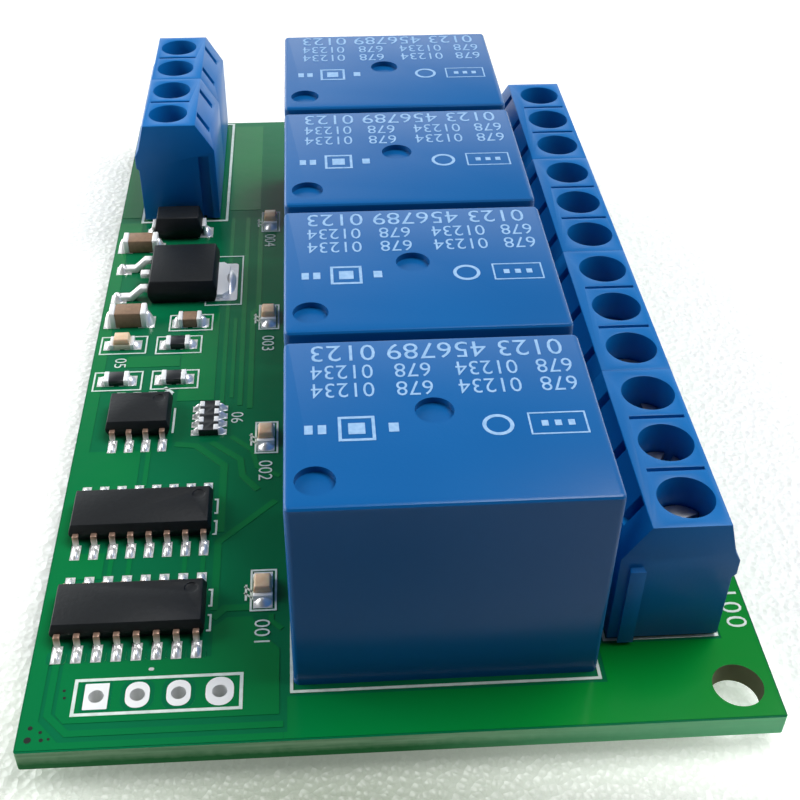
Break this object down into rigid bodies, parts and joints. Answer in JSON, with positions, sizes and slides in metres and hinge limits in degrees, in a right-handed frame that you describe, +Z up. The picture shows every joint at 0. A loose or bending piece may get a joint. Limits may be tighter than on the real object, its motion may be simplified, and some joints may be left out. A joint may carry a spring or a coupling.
{
  "type": "relay module board",
  "caption": "Circuit board with a column of sealed blue cube relays, rows of blue screw terminals for outputs and supply, driver chips and an empty pin header.",
  "frame": {"origin": "Under the middle of the board, at the tips of the solder tails it stands on", "axes": "+X right, from the header and supply side to the output terminals; +Y back, along the column of relays; +Z up, out of the component side"},
  "size_m": [0.0468, 0.081, 0.0181],
  "materials": {
    "board_green": "glossy green lacquer over copper on glass-fibre laminate",
    "relay_blue": "moulded blue plastic, satin to glossy",
    "relay_resin": "dark potting resin",
    "terminal_blue": "moulded blue nylon",
    "screw_steel": "zinc-plated steel",
    "plated_brass": "nickel-plated brass",
    "tinned_copper": "tin plating over copper",
    "solder": "bright solder",
    "black_epoxy": "moulded black epoxy",
    "capacitor_brown": "sintered ceramic",
    "resistor_black": "glazed black film on ceramic",
    "led_white": "white laminate",
    "led_lens": "clear to milky resin"
  },
  "bodies": {
    "root": {"capacitor_ends": "tinned_copper", "circuit_board": "board_green", "diode_body": "black_epoxy", "diode_straps": "tinned_copper", "front_capacitor": "capacitor_brown", "front_chip_body": "black_epoxy", "front_chip_leads": "tinned_copper", "header_plated_holes": "tinned_copper", "input_contact_strips": "tinned_copper", "input_terminal_1": "terminal_blue", "input_terminal_2": "terminal_blue", "input_terminal_screws": "screw_steel", "input_wire_clamps": "plated_brass", "led_bases": "led_white", "led_ends": "tinned_copper", "led_lenses": "led_lens", "output_contact_strips": "tinned_copper", "output_terminal_1": "terminal_blue", "output_terminal_2": "terminal_blue", "output_terminal_3": "terminal_blue", "output_terminal_4": "terminal_blue", "output_terminal_screws": "screw_steel", "output_wire_clamps": "plated_brass", "pin_solder": "solder", "rear_capacitor": "capacitor_brown", "rear_chip_body": "black_epoxy", "rear_chip_leads": "tinned_copper", "regulator_body": "black_epoxy", "regulator_heat_tab": "tinned_copper", "regulator_leads": "tinned_copper", "relay_1_base": "relay_resin", "relay_1_cover": "relay_blue", "relay_2_base": "relay_resin", "relay_2_cover": "relay_blue", "relay_3_base": "relay_resin", "relay_3_cover": "relay_blue", "relay_4_base": "relay_resin", "relay_4_cover": "relay_blue", "relay_pins": "tinned_copper", "resistor_array_body": "resistor_black", "resistor_array_ends": "tinned_copper", "resistor_bodies": "resistor_black", "resistor_ends": "tinned_copper", "small_capacitor": "capacitor_brown", "small_chip_body": "black_epoxy", "small_chip_leads": "tinned_copper", "surface_solder": "solder"}
  },
  "joints": []
}
